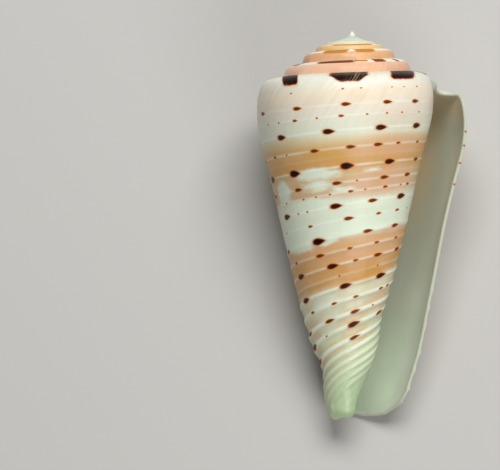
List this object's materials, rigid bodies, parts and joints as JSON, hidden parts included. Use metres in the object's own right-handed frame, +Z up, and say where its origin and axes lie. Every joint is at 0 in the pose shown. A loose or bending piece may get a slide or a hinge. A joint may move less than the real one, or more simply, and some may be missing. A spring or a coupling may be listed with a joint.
{
  "type": "cone seashell",
  "caption": "cone-shaped sea snail shell with a low stepped spire, spiral cords and a long open aperture, lying on its back on a small flat spot",
  "frame": {"origin": "middle of the footprint, on the surface that the shell lies on", "axes": "+Y along the shell towards the apex of the spire, +Z up out of the aperture side, +X towards the outer lip"},
  "size_m": [0.0354, 0.0642, 0.0324],
  "materials": {
    "shell": "gloss"
  },
  "bodies": {
    "root": {"shell": "shell"}
  },
  "joints": []
}
